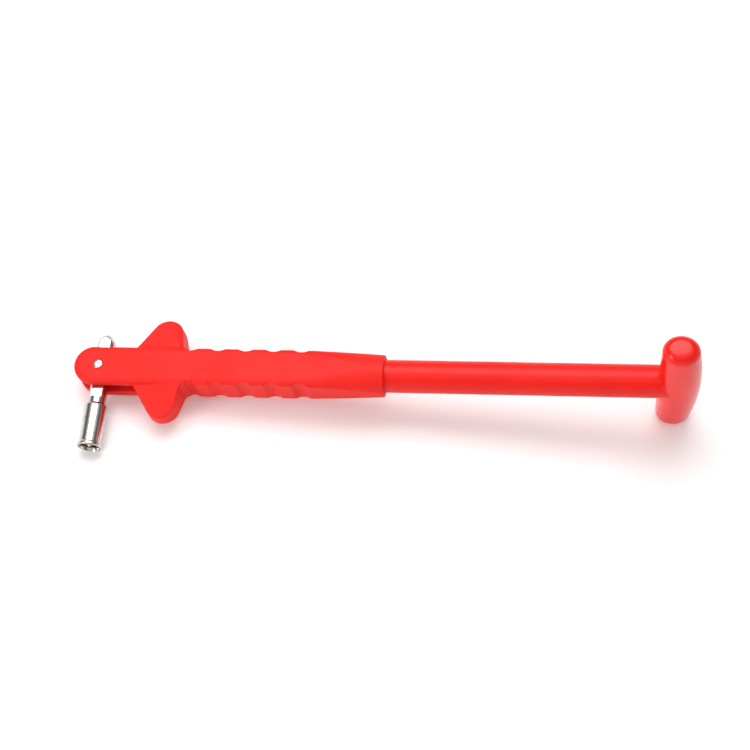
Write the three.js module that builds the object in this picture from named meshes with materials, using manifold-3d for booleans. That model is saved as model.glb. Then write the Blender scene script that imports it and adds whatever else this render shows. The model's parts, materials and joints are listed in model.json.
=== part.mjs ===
// Tyre valve lever: a T-handled bar with a forked grip, two fulcrum wings and a
// swivelling threaded socket that screws onto a tubeless tyre valve. Millimetres, +Z up.
// Every piece is drawn in the tool's own frame: the origin is on the swivel's axis, at the
// middle of the grip's height, +X runs along the bar to the T-handle and +Z is across the wings.
// The last section lays the finished tool down on its three lowest points.

import * as THREE from 'three';
import { mergeVertices } from 'three/addons/utils/BufferGeometryUtils.js';
import Module from 'manifold-3d';

const wasm = await Module();
wasm.setup();

// ---- Driving dimensions ----

const FIT = 0.25; // gap left round a piece that is moulded in, pressed in or pinned

// Grip: a rounded rectangular bar that fades into a round collar
const GRIP_WIDTH = 17.2;
const GRIP_HEIGHT = 16.8;
const GRIP_EDGE = 1.5; // its long edges' rounding, down the sides
const GRIP_EDGE_RUN = 2.8; // and across the faces
const FADE_START = 88.5; // where the flat sides begin to round off
const FADE_EASE = 1.25; // how early the rounding off happens
const COLLAR_START = 120.5;
const COLLAR_END = 127.2;
const COLLAR_DIAMETER = 17.9;
const COLLAR_EDGE = 0.8;

// Finger flutes down both sides of the grip
const FLUTE_COUNT = 5;
const FLUTE_FIRST = 40.9;
const FLUTE_PITCH = 12.4;
const FLUTE_RADIUS = 4.9;
const FLUTE_DEPTH = 1.3;

// Fork and its slot
const FORK_NOSE = 11.1; // from the swivel's axis to the front of the fork
const SLOT_GAP = 7;
const SLOT_LIFT = 0.5; // the slot is cut this much above the grip's middle
const SLOT_SIDE_PLAY = 0.3; // between the rod's flats and each prong
const SLOT_FLOOR_PLAY = 0.8; // between the rod's tail and the slot's round floor

// Fulcrum wings
const WING_CENTRE = 29.1; // the round end's centre, behind the swivel's axis
const WING_REACH = 23.3; // from the tool's middle to a wing's tip
const WING_END_RADIUS = 6.8;
const WING_FRONT_ANGLE = 58; // degrees between the front flank and the bar
const WING_REAR_LEAN = 12; // degrees that the rear flank leans forward
const WING_ROOT_THICKNESS = 13.6;
const WING_TIP_THICKNESS = 7.2;
const WING_EDGE = 1.1;
const WING_FILLET = 2.6;

// Swivel pin
const PIN_DIAMETER = 4;
const PIN_PLAY = 0.1; // radial, in the rod's eye
const PIN_RISE = 0.3; // each peened end stands this proud of its prong

// Swivel rod, measured along itself from the swivel's axis towards the socket
const ROD_DIAMETER = 8;
const ROD_TAIL = 17.2; // the length behind the swivel's axis
const ROD_NOSE = 3.8; // length of the tail's rounded point
const ROD_FLAT_END = 13.5;
const ROD_SLANT = 1.8; // degrees that the rod stands forward of square
const SOCKET_START = 16.7;
const SOCKET_LENGTH = 19.9;
const SOCKET_DIAMETER = 10.6; // at its shoulder
const SOCKET_NECK_DIAMETER = 9.8; // behind its lip
const SOCKET_LIP_DIAMETER = 11;
const SOCKET_LIP_LENGTH = 1.3;
const SOCKET_SHOULDER = 0.9; // chamfer at the rod end of the socket
const SPIGOT_DIAMETER = 6;
const SPIGOT_LENGTH = 7.5;

// Threaded insert for a tyre valve's cap thread, and the pin that pushes the valve's core
const INSERT_WALL = 0.35; // outside the thread's roots
const INSERT_LENGTH = 10;
const INSERT_RECESS = 1.1; // behind the socket's mouth
const THREAD_BORE = 7.1;
const THREAD_ROOT = 7.8;
const THREAD_PITCH = 0.794;
const CORE_PIN_DIAMETER = 1.8;
const CORE_PIN_BASE = 3;
const CORE_PIN_BASE_LENGTH = 4;
const CORE_PIN_RECESS = 0.5; // its tip, behind the socket's mouth

// Steel inside the tool
const CORE_DIAMETER = 9;
const CORE_START = 24;
const CORE_CHAMFER = 1;
const KEY_PIN_DIAMETER = 4;
const KEY_PIN_LENGTH = 12.5;
const KEY_PIN_PLACE = 106;
const CROSS_BAR_DIAMETER = 5;
const CROSS_BAR_LENGTH = 56;
const LOCK_PIN_DIAMETER = 2.4;

// Sleeve over the bar, and the T-handle
const SLEEVE_DIAMETER = 14.4;
const SLEEVE_INSET = 10; // length inside the collar
const HANDLE_PLACE = 252;
const HANDLE_LENGTH = 72;
const HANDLE_DIAMETER = 18; // along the bar
const HANDLE_DEPTH = 15.8; // across the bar
const HANDLE_END_DIAMETER = 15.6;
const HANDLE_BOW = 1.2; // how far the handle's middle stands out past its ends
const HANDLE_END_RADIUS = 4.4;
const HANDLE_CORE_DEPTH = 5.2; // how far the steel bar runs past the handle's middle
const SADDLE_DEPTH = 5.4; // how far the sleeve enters the handle's round side

// Facets
const ROUND = 48;
const SMALL_ROUND = 28;
const CORNER = 7;

// ---- Solids ----

function toSolid(geometry) {
  const plain = new THREE.BufferGeometry();
  plain.setAttribute('position', geometry.getAttribute('position'));
  plain.setIndex(geometry.getIndex());
  const merged = mergeVertices(plain, 1e-5);
  const vertProperties = new Float32Array(merged.getAttribute('position').array);
  const triVerts = new Uint32Array(merged.getIndex().array);
  return new wasm.Manifold(new wasm.Mesh({ numProp: 3, vertProperties, triVerts }));
}

function toGeometry(solid) {
  const mesh = solid.getMesh();
  const geometry = new THREE.BufferGeometry();
  geometry.setAttribute('position', new THREE.BufferAttribute(mesh.vertProperties, 3));
  geometry.setIndex(new THREE.BufferAttribute(mesh.triVerts, 1));
  geometry.computeVertexNormals();
  return geometry;
}

// A solid turned about the Z axis from [radius, height] points that go up the outside.
function turned(points, segments) {
  const outline = points.map(([radius, height]) => new THREE.Vector2(radius, height));
  const geometry = new THREE.LatheGeometry(outline, segments);
  return geometry.rotateX(Math.PI / 2);
}

// The same, lying along +X or along +Y.
function turnedAlongX(points, segments) {
  return turned(points, segments).rotateY(Math.PI / 2);
}

function turnedAlongY(points, segments) {
  return turned(points, segments).rotateX(-Math.PI / 2);
}

function rodPoints(radius, from, to, chamfer = 0) {
  return [
    [0, from],
    [radius - chamfer, from],
    ...(chamfer > 0 ? [[radius, from + chamfer], [radius, to - chamfer]] : []),
    [radius - chamfer, to],
    [0, to],
  ];
}

// Points of an arc in the [radius, height] plane, with both ends.
function arcPoints(centreRadius, centreHeight, radius, fromDegrees, toDegrees, steps) {
  const points = [];
  for (let step = 0; step <= steps; step += 1) {
    const angle = THREE.MathUtils.degToRad(THREE.MathUtils.lerp(fromDegrees, toDegrees, step / steps));
    points.push([centreRadius + radius * Math.cos(angle), centreHeight + radius * Math.sin(angle)]);
  }
  return points;
}

// One ring of a rounded rectangle across the X axis, counter-clockwise seen from +X. Its
// corners are quarters of ellipses.
function roundedRing(x, halfWidth, halfHeight, run, drop) {
  const ring = [];
  const signs = [[1, 1], [-1, 1], [-1, -1], [1, -1]];
  signs.forEach(([signY, signZ], quarter) => {
    for (let step = 0; step <= CORNER; step += 1) {
      const angle = (quarter + step / CORNER) * Math.PI / 2;
      const y = signY * (halfWidth - run) + run * Math.cos(angle);
      const z = signZ * (halfHeight - drop) + drop * Math.sin(angle);
      ring.push([x, y, z]);
    }
  });
  return ring;
}

// A closed solid through rings that follow each other along +X.
function loft(rings) {
  const size = rings[0].length;
  const last = rings.length - 1;
  const positions = rings.flat(2);
  const startCentre = rings.length * size;
  const endCentre = startCentre + 1;
  positions.push(rings[0][0][0], 0, 0, rings[last][0][0], 0, 0);
  const faces = [];
  for (let side = 0; side < size; side += 1) {
    const next = (side + 1) % size;
    for (let ring = 0; ring < last; ring += 1) {
      const here = ring * size;
      const there = here + size;
      faces.push(here + side, here + next, there + next);
      faces.push(here + side, there + next, there + side);
    }
    faces.push(startCentre, next, side);
    faces.push(endCentre, last * size + side, last * size + next);
  }
  const geometry = new THREE.BufferGeometry();
  geometry.setAttribute('position', new THREE.Float32BufferAttribute(positions, 3));
  geometry.setIndex(faces);
  return geometry;
}

function subtractAll(solid, tools) {
  return tools.reduce((rest, tool) => rest.subtract(toSolid(tool)), solid);
}

// ---- Shared places ----

const eyeThickness = SLOT_GAP - 2 * SLOT_SIDE_PLAY;
const slotFloorRadius = ROD_TAIL + SLOT_FLOOR_PLAY;
const socketMouth = SOCKET_START + SOCKET_LENGTH;
const insertEnd = socketMouth - INSERT_RECESS;
const insertStart = insertEnd - INSERT_LENGTH;
const spigotEnd = SOCKET_START + SPIGOT_LENGTH;
const corePinStart = spigotEnd - CORE_PIN_BASE_LENGTH;
const coreEnd = HANDLE_PLACE + HANDLE_CORE_DEPTH;
const sleeveStart = COLLAR_END - SLEEVE_INSET;
const sleeveEnd = HANDLE_PLACE + HANDLE_BOW - HANDLE_DIAMETER / 2 + SADDLE_DEPTH;
const insertDiameter = THREAD_ROOT + 2 * INSERT_WALL;
const crossBarPlace = HANDLE_PLACE + HANDLE_BOW;

// ---- Grip, fork and wings in one moulding ----

function gripBar() {
  const halfWidth = GRIP_WIDTH / 2;
  const halfHeight = GRIP_HEIGHT / 2;
  const collarRadius = COLLAR_DIAMETER / 2;
  const noseCentre = halfWidth - FORK_NOSE;
  const rings = [];
  rings.push(roundedRing(noseCentre, halfWidth, halfHeight, GRIP_EDGE_RUN, GRIP_EDGE));
  const fadeSteps = 12;
  for (let step = 0; step <= fadeSteps; step += 1) {
    const along = step / fadeSteps;
    const fade = 1 - (1 - along) ** FADE_EASE;
    const width = THREE.MathUtils.lerp(halfWidth, collarRadius, fade);
    const height = THREE.MathUtils.lerp(halfHeight, collarRadius, fade);
    const run = THREE.MathUtils.lerp(GRIP_EDGE_RUN, collarRadius, fade);
    const drop = THREE.MathUtils.lerp(GRIP_EDGE, collarRadius, fade);
    const x = THREE.MathUtils.lerp(FADE_START, COLLAR_START, along);
    rings.push(roundedRing(x, width, height, run, drop));
  }
  for (const [rise, ahead] of arcPoints(0, 0, COLLAR_EDGE, 0, 90, 3)) {
    const radius = collarRadius - COLLAR_EDGE + rise;
    rings.push(roundedRing(COLLAR_END - COLLAR_EDGE + ahead, radius, radius, radius, radius));
  }
  return toSolid(loft(rings));
}

function forkNose() {
  const edge = arcPoints(0, 0, 1, 0, 90, CORNER).map(([across, up]) => [
    GRIP_WIDTH / 2 + GRIP_EDGE_RUN * (across - 1),
    GRIP_HEIGHT / 2 + GRIP_EDGE * (up - 1),
  ]);
  const mirrored = edge.map(([across, up]) => [across, -up]).reverse();
  const geometry = turned([
    [0, -GRIP_HEIGHT / 2],
    ...mirrored,
    ...edge,
    [0, GRIP_HEIGHT / 2],
  ], ROUND);
  return toSolid(geometry.translate(GRIP_WIDTH / 2 - FORK_NOSE, 0, 0));
}

function wing(turn) {
  const front = THREE.MathUtils.degToRad(WING_FRONT_ANGLE);
  const lean = THREE.MathUtils.degToRad(WING_REAR_LEAN);
  const centreY = WING_REACH - WING_END_RADIUS;
  const filletFoot = GRIP_WIDTH / 2 - GRIP_EDGE / 3;
  const filletCentreY = filletFoot + WING_FILLET;
  const rearTangentX = WING_CENTRE + WING_END_RADIUS * Math.cos(lean);
  const rearTangentY = centreY + WING_END_RADIUS * Math.sin(lean);
  const filletCentreX = rearTangentX
    + (WING_FILLET - Math.sin(lean) * (filletCentreY - rearTangentY)) / Math.cos(lean);
  const frontTangentX = WING_CENTRE - WING_END_RADIUS * Math.sin(front);
  const frontTangentY = centreY + WING_END_RADIUS * Math.cos(front);

  const outline = new THREE.Shape();
  outline.moveTo(frontTangentX - frontTangentY / Math.tan(front), 0);
  outline.lineTo(frontTangentX, frontTangentY);
  outline.absarc(WING_CENTRE, centreY, WING_END_RADIUS, Math.PI / 2 + front, lean, true);
  outline.absarc(filletCentreX, filletCentreY, WING_FILLET, Math.PI + lean, 1.5 * Math.PI, false);
  outline.lineTo(filletCentreX, 0);
  outline.closePath();

  const geometry = new THREE.ExtrudeGeometry(outline, {
    depth: WING_ROOT_THICKNESS - 2 * WING_EDGE,
    bevelThickness: WING_EDGE,
    bevelSize: WING_EDGE,
    bevelOffset: -WING_EDGE,
    bevelSegments: 3,
    curveSegments: 12,
  });
  geometry.translate(0, 0, WING_EDGE - WING_ROOT_THICKNESS / 2);
  const taper = (1 - WING_TIP_THICKNESS / WING_ROOT_THICKNESS) / (WING_REACH - GRIP_WIDTH / 2);
  const position = geometry.getAttribute('position');
  for (let index = 0; index < position.count; index += 1) {
    const outside = Math.max(0, position.getY(index) - GRIP_WIDTH / 2);
    position.setZ(index, position.getZ(index) * (1 - taper * outside));
  }
  return toSolid(geometry.rotateX(turn));
}

function flutes() {
  const cutters = [];
  for (let index = 0; index < FLUTE_COUNT; index += 1) {
    for (const side of [-1, 1]) {
      const cutter = turned(rodPoints(FLUTE_RADIUS, -GRIP_HEIGHT, GRIP_HEIGHT), ROUND);
      const offset = side * (GRIP_WIDTH / 2 + FLUTE_RADIUS - FLUTE_DEPTH);
      cutters.push(cutter.translate(FLUTE_FIRST + index * FLUTE_PITCH, offset, 0));
    }
  }
  return cutters;
}

function forkSlot() {
  const bottom = SLOT_LIFT - SLOT_GAP / 2;
  const top = SLOT_LIFT + SLOT_GAP / 2;
  const mouth = new THREE.BoxGeometry(2 * FORK_NOSE, 2 * GRIP_WIDTH, SLOT_GAP);
  mouth.translate(-FORK_NOSE, 0, SLOT_LIFT);
  const floor = turned(rodPoints(slotFloorRadius, bottom, top), ROUND * 2);
  return [mouth, floor];
}

function gripBody() {
  const whole = gripBar().add(forkNose()).add(wing(0)).add(wing(Math.PI));
  const bore = CORE_DIAMETER / 2 + FIT;
  const cuts = [
    ...flutes(),
    ...forkSlot(),
    turned(rodPoints(PIN_DIAMETER / 2 + PIN_PLAY, -GRIP_HEIGHT, GRIP_HEIGHT), SMALL_ROUND),
    turnedAlongX(rodPoints(bore, CORE_START - FIT, COLLAR_END + 1), ROUND),
    turnedAlongX(rodPoints(SLEEVE_DIAMETER / 2 + FIT, sleeveStart - FIT, COLLAR_END + 1), ROUND),
    keyPinShape(FIT),
  ];
  return toGeometry(subtractAll(whole, cuts));
}

// ---- Swivel ----

function pivotPin() {
  const reach = GRIP_HEIGHT / 2 + PIN_RISE;
  const radius = PIN_DIAMETER / 2;
  const dome = PIN_RISE * 0.8;
  return turned([
    [0, -reach],
    [radius * 0.7, dome * 0.3 - reach],
    [radius, dome - reach],
    [radius, reach - dome],
    [radius * 0.7, reach - dome * 0.3],
    [0, reach],
  ], SMALL_ROUND);
}

// The rod and what it carries lie along +Y here; the swivel's group turns them to the side.
function swivelRod() {
  const radius = ROD_DIAMETER / 2;
  const bar = turnedAlongY([
    [0, -ROD_TAIL],
    [radius * 0.3, -ROD_TAIL + ROD_NOSE * 0.05],
    [radius * 0.58, -ROD_TAIL + ROD_NOSE * 0.3],
    [radius * 0.84, -ROD_TAIL + ROD_NOSE * 0.66],
    [radius, -ROD_TAIL + ROD_NOSE],
    [radius, SOCKET_START - FIT],
    [SPIGOT_DIAMETER / 2, SOCKET_START - FIT],
    [SPIGOT_DIAMETER / 2, spigotEnd],
    [0, spigotEnd],
  ], ROUND);
  const flatLength = ROD_TAIL + ROD_FLAT_END;
  const cuts = [
    turned(rodPoints(PIN_DIAMETER / 2 + PIN_PLAY, -ROD_DIAMETER, ROD_DIAMETER), SMALL_ROUND),
    turnedAlongY(rodPoints(CORE_PIN_BASE / 2 + FIT, corePinStart - FIT, spigotEnd + 1), SMALL_ROUND),
  ];
  for (const side of [-1, 1]) {
    const flat = new THREE.BoxGeometry(2 * ROD_DIAMETER, 2 * flatLength, ROD_DIAMETER);
    const middle = ROD_FLAT_END - flatLength;
    cuts.push(flat.translate(0, middle, side * (eyeThickness + ROD_DIAMETER) / 2));
  }
  return toGeometry(subtractAll(toSolid(bar), cuts));
}

function valveSocket() {
  const outer = SOCKET_DIAMETER / 2;
  const neck = SOCKET_NECK_DIAMETER / 2;
  const lip = SOCKET_LIP_DIAMETER / 2;
  const bore = insertDiameter / 2 + FIT;
  const spigotBore = SPIGOT_DIAMETER / 2 + FIT;
  const lipStart = socketMouth - SOCKET_LIP_LENGTH;
  return turnedAlongY([
    [spigotBore, SOCKET_START],
    [outer - SOCKET_SHOULDER, SOCKET_START],
    [outer, SOCKET_START + SOCKET_SHOULDER],
    [neck, lipStart - (lip - neck)],
    [lip, lipStart],
    [lip, socketMouth - 0.4],
    [lip - 0.3, socketMouth],
    [lip - 0.7, socketMouth],
    [bore, insertEnd],
    [bore, insertStart - FIT],
    [spigotBore, insertStart - FIT],
    [spigotBore, SOCKET_START],
  ], ROUND);
}

// The thread is drawn as grooves that circle the bore.
function threadInsert() {
  const bore = THREAD_BORE / 2;
  const root = THREAD_ROOT / 2;
  const outer = insertDiameter / 2;
  const grooves = Math.floor((INSERT_LENGTH - 2 * THREAD_PITCH) / THREAD_PITCH);
  const inside = [];
  for (let index = 0; index < grooves; index += 1) {
    const top = insertEnd - THREAD_PITCH * (index + 1);
    inside.push([bore, top]);
    inside.push([root, top - THREAD_PITCH / 2]);
  }
  const lead = (outer - bore) / 2;
  return turnedAlongY([
    [bore, insertStart],
    [outer, insertStart],
    [outer, insertEnd],
    [bore + lead, insertEnd],
    ...inside,
    [bore, insertEnd - THREAD_PITCH * (grooves + 1)],
    [bore, insertStart],
  ], SMALL_ROUND);
}

function corePin() {
  const stem = CORE_PIN_DIAMETER / 2;
  const tip = socketMouth - CORE_PIN_RECESS;
  return turnedAlongY([
    [0, corePinStart],
    [CORE_PIN_BASE / 2, corePinStart],
    [CORE_PIN_BASE / 2, spigotEnd],
    [stem, spigotEnd + CORE_PIN_BASE / 2 - stem],
    ...arcPoints(0, tip - stem, stem, 0, 90, 4),
  ], SMALL_ROUND);
}

// ---- Steel core ----

function keyPinShape(gap) {
  const half = KEY_PIN_LENGTH / 2 + gap;
  const shape = turnedAlongY(rodPoints(KEY_PIN_DIAMETER / 2 + gap, -half, half), SMALL_ROUND);
  return shape.translate(KEY_PIN_PLACE, 0, 0);
}

function crossBarShape(gap) {
  const half = CROSS_BAR_LENGTH / 2 + gap;
  const shape = turned(rodPoints(CROSS_BAR_DIAMETER / 2 + gap, -half, half), SMALL_ROUND);
  return shape.translate(crossBarPlace, 0, 0);
}

function lockPinShape(gap) {
  const start = crossBarPlace - CROSS_BAR_DIAMETER / 2 - gap;
  return turnedAlongX(rodPoints(LOCK_PIN_DIAMETER / 2 + gap, start, coreEnd + gap), SMALL_ROUND);
}

function coreBar() {
  const bar = turnedAlongX(rodPoints(CORE_DIAMETER / 2, CORE_START, coreEnd, CORE_CHAMFER), ROUND);
  const cuts = [keyPinShape(FIT), crossBarShape(FIT), lockPinShape(FIT)];
  return toGeometry(subtractAll(toSolid(bar), cuts));
}

function crossBar() {
  return toGeometry(subtractAll(toSolid(crossBarShape(0)), [lockPinShape(FIT)]));
}

// ---- Sleeve and T-handle ----

function shaftSleeve() {
  const bore = CORE_DIAMETER / 2 + FIT;
  const outer = SLEEVE_DIAMETER / 2;
  return turnedAlongX([
    [bore, sleeveStart],
    [outer, sleeveStart],
    [outer, sleeveEnd],
    [bore, sleeveEnd],
    [bore, sleeveStart],
  ], ROUND);
}

function handleProfile() {
  const endRadius = HANDLE_END_DIAMETER / 2;
  const middleRadius = HANDLE_DIAMETER / 2;
  const shoulder = HANDLE_LENGTH / 2 - HANDLE_END_RADIUS;
  const corner = endRadius - HANDLE_END_RADIUS;
  const barrel = [];
  const barrelSteps = 12;
  for (let step = 1; step < barrelSteps; step += 1) {
    const along = 2 * step / barrelSteps - 1;
    const radius = endRadius + (middleRadius - endRadius) * (1 - along ** 2);
    barrel.push([radius, along * shoulder]);
  }
  return [
    [0, -HANDLE_LENGTH / 2],
    ...arcPoints(corner, -shoulder, HANDLE_END_RADIUS, -90, 0, CORNER),
    ...barrel,
    ...arcPoints(corner, shoulder, HANDLE_END_RADIUS, 0, 90, CORNER),
    [0, HANDLE_LENGTH / 2],
  ];
}

// The handle is an oval barrel that bows away from the bar.
function handleBarrel() {
  const geometry = turned(handleProfile(), ROUND);
  const position = geometry.getAttribute('position');
  for (let index = 0; index < position.count; index += 1) {
    const along = 2 * position.getZ(index) / HANDLE_LENGTH;
    position.setX(index, position.getX(index) + HANDLE_BOW * (1 - along ** 2));
    position.setY(index, position.getY(index) * HANDLE_DEPTH / HANDLE_DIAMETER);
  }
  return geometry.translate(HANDLE_PLACE, 0, 0);
}

function tHandle() {
  const body = handleBarrel();
  const outside = HANDLE_PLACE - HANDLE_DIAMETER;
  const cuts = [
    turnedAlongX(rodPoints(CORE_DIAMETER / 2 + FIT, outside, coreEnd + FIT), ROUND),
    turnedAlongX(rodPoints(SLEEVE_DIAMETER / 2 + FIT, outside, sleeveEnd + FIT), ROUND),
    crossBarShape(FIT),
  ];
  return toGeometry(subtractAll(toSolid(body), cuts));
}

// ---- Materials ----

function material(color, roughness, metalness) {
  return new THREE.MeshStandardMaterial({ color, roughness, metalness });
}

function redPlastic() {
  return material(0xe3170f, 0.42, 0);
}

function platedSteel() {
  return material(0xd9dadb, 0.14, 1);
}

function plainSteel() {
  return material(0x8f9296, 0.38, 1);
}

// ---- Assembly ----

function piece(name, geometry, finish) {
  const mesh = new THREE.Mesh(geometry, finish);
  mesh.name = name;
  return mesh;
}

const swivel = new THREE.Group();
swivel.add(
  piece('swivel_rod', swivelRod(), platedSteel()),
  piece('valve_socket', valveSocket(), platedSteel()),
  piece('thread_insert', threadInsert(), material(0xb08d4c, 0.34, 1)),
  piece('core_pin', corePin(), platedSteel()),
);
swivel.position.z = SLOT_LIFT;
swivel.rotation.z = Math.PI - THREE.MathUtils.degToRad(ROD_SLANT);

const tool = new THREE.Group();
tool.add(
  swivel,
  piece('grip_body', gripBody(), redPlastic()),
  piece('pivot_pin', pivotPin(), plainSteel()),
  piece('core_bar', coreBar(), plainSteel()),
  piece('key_pin', keyPinShape(0), plainSteel()),
  piece('cross_bar', crossBar(), plainSteel()),
  piece('lock_pin', lockPinShape(0), plainSteel()),
  piece('shaft_sleeve', shaftSleeve(), redPlastic()),
  piece('t_handle', tHandle(), redPlastic()),
);

// ---- Lying on a flat surface ----

function pointsOf(object) {
  const points = [];
  object.updateWorldMatrix(true, true);
  object.traverse((child) => {
    const position = child.isMesh ? child.geometry.getAttribute('position') : { count: 0 };
    for (let index = 0; index < position.count; index += 1) {
      const point = new THREE.Vector3().fromBufferAttribute(position, index);
      points.push(point.applyMatrix4(child.matrixWorld));
    }
  });
  return points;
}

function lowest(points, up) {
  return points.reduce((low, point) => (point.dot(up) < low.dot(up) ? point : low));
}

// The upward direction, in the tool's frame, when the fork, the T-handle and the socket all
// touch the surface: each pass finds their lowest points and the plane through those points.
function restingUp() {
  const names = ['grip_body', 't_handle', 'valve_socket'];
  const supports = names.map((name) => pointsOf(tool.getObjectByName(name)));
  let up = new THREE.Vector3(0, 0, 1);
  for (let pass = 0; pass < 20; pass += 1) {
    const [front, back, side] = supports.map((points) => lowest(points, up));
    const along = back.clone().sub(front);
    const across = front.clone().sub(side);
    up = along.cross(across).normalize();
  }
  return up;
}

function layDown() {
  const up = restingUp();
  const across = up.clone().cross(new THREE.Vector3(1, 0, 0)).normalize();
  const along = across.clone().cross(up);
  const turn = new THREE.Matrix4().makeBasis(along, across, up).transpose();
  tool.quaternion.setFromRotationMatrix(turn);
  const box = new THREE.Box3().setFromPoints(pointsOf(tool));
  const middle = box.getCenter(new THREE.Vector3());
  tool.position.set(-middle.x, -middle.y, -box.min.z);
}

layDown();

const part = new THREE.Group();
part.add(tool);

export default part;
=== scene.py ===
"""Tyre valve lever: builds the visible pieces, their materials and the studio round the frame.

Sizes are in millimetres and become metres as a finished piece is carried into the frame.
Each piece is drawn in the tool's own axes (X along the bar to the T-handle, Z along the swivel
pin) or in the swivel's (Y along the rod to the socket), and is then carried into the frame.
"""

import json
import math

import bmesh
import bpy
from mathutils import Matrix, Vector, noise


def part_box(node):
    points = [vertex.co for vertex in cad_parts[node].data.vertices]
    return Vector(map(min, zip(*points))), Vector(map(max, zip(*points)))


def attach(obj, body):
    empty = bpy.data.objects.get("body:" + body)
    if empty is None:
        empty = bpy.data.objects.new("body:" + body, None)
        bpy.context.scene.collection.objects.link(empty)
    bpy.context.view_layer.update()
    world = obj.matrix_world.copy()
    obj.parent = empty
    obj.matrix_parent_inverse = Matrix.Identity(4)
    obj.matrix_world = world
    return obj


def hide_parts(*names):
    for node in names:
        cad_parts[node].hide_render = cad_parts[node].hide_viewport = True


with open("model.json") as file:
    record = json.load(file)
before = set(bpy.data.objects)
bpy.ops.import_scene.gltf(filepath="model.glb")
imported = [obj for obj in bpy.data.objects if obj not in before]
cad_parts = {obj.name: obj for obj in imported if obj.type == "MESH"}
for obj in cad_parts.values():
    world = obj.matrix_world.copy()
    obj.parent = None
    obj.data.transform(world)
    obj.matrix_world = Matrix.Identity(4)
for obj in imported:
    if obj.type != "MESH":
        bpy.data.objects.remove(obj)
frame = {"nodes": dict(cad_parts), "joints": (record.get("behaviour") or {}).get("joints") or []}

bl_info = {
    "name": "Tyre Valve Lever",
    "version": (1, 0, 0),
    "blender": (4, 5, 0),
    "location": "View3D > Sidebar > Valve Lever",
    "description": "Builds the visible pieces of a tyre valve lever round its frame",
    "category": "Object",
}

MM = 0.001

# Grip, fork and wings
GRIP_HALF_WIDTH = 8.6
GRIP_HALF_HEIGHT = 8.4
GRIP_EDGE = 1.5
GRIP_EDGE_RUN = 2.8
NOSE_REACH = 11.1
FADE_FROM = 88.5
FADE_TO = 120.5
FADE_EASE = 1.25
COLLAR_RADIUS = 8.95
COLLAR_TO = 127.2
COLLAR_EDGE = 0.5
COLLAR_SWELL = 0.3
FLUTES = 5
FLUTE_FIRST = 40.9
FLUTE_PITCH = 12.4
FLUTE_RADIUS = 4.9
FLUTE_DEPTH = 1.3
SLOT_LIFT = 0.5
SLOT_GAP = 7.0
SLOT_FLOOR = 18.0
SEAT_GAP = 0.05
SEAT_DEPTH = 0.3
CUT_REACH = 20.0
MOUTH_REACH = 30.0
WING_CENTRE = 29.1
WING_REACH = 23.3
WING_ROUND = 6.8
WING_FRONT = 58.0
WING_LEAN = 12.0
WING_FILLET = 2.6
WING_ROOT = 15.6
WING_TIP = 7.2
WING_EDGE = 1.1

# Sleeve
SLEEVE_WALL = 2.45
SLEEVE_EDGE = 0.3
SLEEVE_ROUGHNESS = 0.40

# T-handle
HANDLE_PLACE = 252.0
HANDLE_HALF = 36.0
HANDLE_RADIUS = 9.0
HANDLE_DEPTH = 7.9
HANDLE_END = 7.8
HANDLE_ROUND = 4.4
HANDLE_CROWN = 5.0
HANDLE_BOW = 1.2
HANDLE_COAT = 0.03

# Pin, and the room round it
PIN_GAP = 0.1
PIN_DOME = 0.30
PIN_MARK = 0.75
PIN_EDGE = 0.12

# Swivel, along the rod
ROD_NOSE = 3.8
ROD_FLAT_HALF = 3.2
ROD_FLAT_END = 13.5
ROD_END_GAP = 0.25
ROD_END_EDGE = 0.2
SPIGOT_RADIUS = 3.0
SPIGOT_GAP = 0.1
SOCKET_RADIUS = 5.3
SOCKET_NECK = 4.9
SOCKET_SHOULDER = 0.9
SOCKET_LIP = 1.3
LIP_EDGE = 0.3
RIM_WIDTH = 0.65
INSERT_GAP = 0.1
INSERT_SEAT = 0.2
INSERT_EDGE = 0.2
THREAD_LEAD = 0.5
THREAD_ROOT = 3.9
THREAD_PITCH = 0.794
THREAD_RIDGE = 0.34
THREAD_FROM = 0.6
THREAD_SHORT = 1.6
STEM_RADIUS = 0.9
STEM_FROM = 4.0

# Materials
PLASTIC_IOR = 1.42
PLASTIC_SPECULAR = 0.36
COAT_ROUGHNESS = 0.12
FLOOR_GLOW = 0.12


# ---- Places, all read from the frame ----

def middle(node):
    """The centre of a node's box, which is on its axis for a plain turned piece."""
    low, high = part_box(node)
    return (low + high) / 2


def axes(origin, along, up, forward):
    """A frame at origin whose Z is up and whose X, or Y, points along."""
    along = (along - along.dot(up) * up).normalized()
    side = up.cross(along) if forward == "X" else along.cross(up)
    first, second = (along, side) if forward == "X" else (side, along)
    return Matrix.Translation(origin) @ Matrix((first, second, up)).transposed().to_4x4()


def tool_axes():
    """The tool's axes: the swivel pin's middle, along the bar, and along the pin."""
    origin = middle("pivot_pin")
    up = Vector(frame["joints"][0]["axis"]).normalized()
    return axes(origin, middle("shaft_sleeve") - origin, up, "X")


def swivel_axes():
    """The swivel's axes: the joint, along the rod to the socket, and along the pin."""
    origin = Vector(frame["joints"][0]["pos_m"])
    up = Vector(frame["joints"][0]["axis"]).normalized()
    return axes(origin, middle("thread_insert") - origin, up, "Y")


def extent(node, place):
    """A node's lowest and highest corners in the given axes, in millimetres."""
    back = place.inverted()
    points = [back @ vertex.co / MM for vertex in frame["nodes"][node].data.vertices]
    low = Vector([min(point[k] for point in points) for k in range(3)])
    high = Vector([max(point[k] for point in points) for k in range(3)])
    return low, high


# ---- Mesh helpers ----

def new_object(name, mesh):
    """An object for the mesh, linked into the scene."""
    obj = bpy.data.objects.new(name, mesh)
    bpy.context.scene.collection.objects.link(obj)
    return obj


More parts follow.
